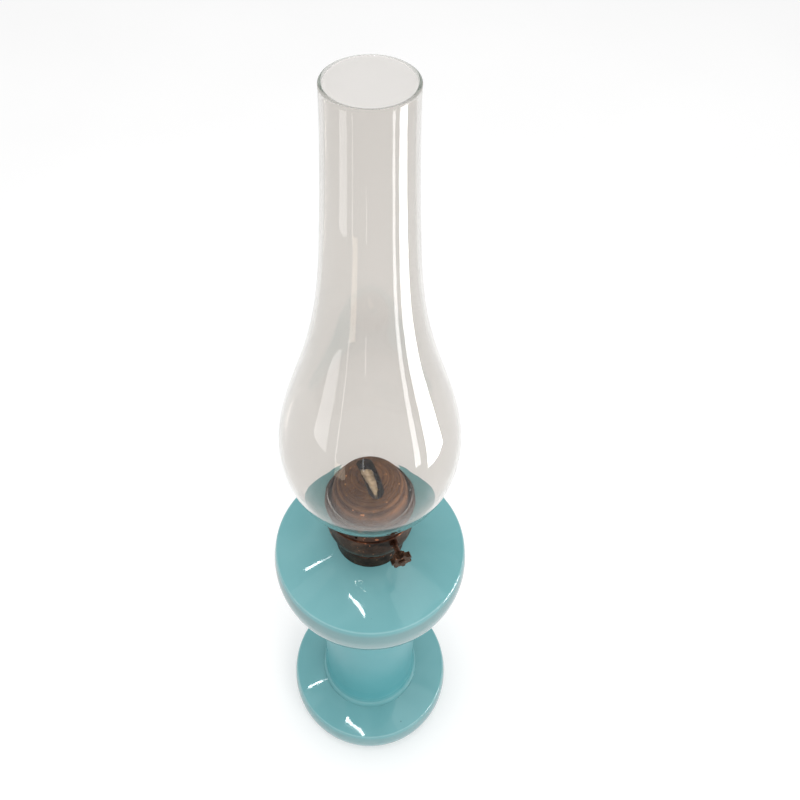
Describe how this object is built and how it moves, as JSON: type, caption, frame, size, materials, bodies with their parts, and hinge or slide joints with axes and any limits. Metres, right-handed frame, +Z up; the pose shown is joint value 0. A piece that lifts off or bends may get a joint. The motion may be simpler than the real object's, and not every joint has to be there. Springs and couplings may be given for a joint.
{
  "type": "oil lamp",
  "caption": "Table oil lamp: turquoise opaline glass base, brass flat-wick burner with a winding knob, slotted dome cap and a clear glass chimney with a low bulge.",
  "frame": {"origin": "middle of the ring that the foot stands on, at table level", "axes": "+Z up along the lamp's axis; the wick's width and the winding spindle run along Y, and the knob is at -Y"},
  "size_m": [0.1018, 0.1018, 0.447],
  "materials": {
    "opaline_glass": "gloss",
    "plaster": "matte",
    "dark_brass": "satin",
    "cap_brass": "satin",
    "knob_brass": "satin",
    "iron_wire": "satin",
    "cotton": "matte",
    "clear_glass": "polished"
  },
  "bodies": {
    "lamp_base": {"glass_base": "opaline_glass", "neck_cement": "plaster", "font_collar": "dark_brass"},
    "burner": {"burner_plug": "dark_brass", "burner_cup": "dark_brass", "gallery": "dark_brass", "air_plate": "dark_brass", "wick_tube": "dark_brass", "wheel_housing": "dark_brass", "spindle_sleeve": "dark_brass", "vent_tube": "dark_brass"},
    "wick_raiser": {"wick_shaft": "iron_wire", "shaft_clip": "iron_wire", "wick_wheel_front": "dark_brass", "wick_wheel_rear": "dark_brass", "knob": "knob_brass", "knob_rivet": "knob_brass"},
    "wick": {"wick": "cotton"},
    "cap": {"burner_cap": "cap_brass"},
    "chimney": {"chimney": "clear_glass"}
  },
  "joints": [
    {"name": "burner_lift", "type": "slide", "parent": "lamp_base", "child": "burner", "axis": [0, 0, 1], "range_m": [0, 0.15]},
    {"name": "knob_turn", "type": "hinge", "parent": "burner", "child": "wick_raiser", "pos_m": [0.0042, 0, 0.226], "axis": [0, 1, 0], "range_deg": [-150, 190]},
    {"name": "wick_slide", "type": "slide", "parent": "burner", "child": "wick", "axis": [0, 0, 1], "range_m": [-0.0075, 0.0095]},
    {"name": "cap_lift", "type": "slide", "parent": "burner", "child": "cap", "axis": [0, 0, 1], "range_m": [0, 0.02]},
    {"name": "chimney_lift", "type": "slide", "parent": "burner", "child": "chimney", "axis": [0, 0, 1], "range_m": [0, 0.06]}
  ],
  "couplings": [
    {"joint": "knob_turn", "follows": "wick_slide", "rad_per_m": 344.83}
  ]
}
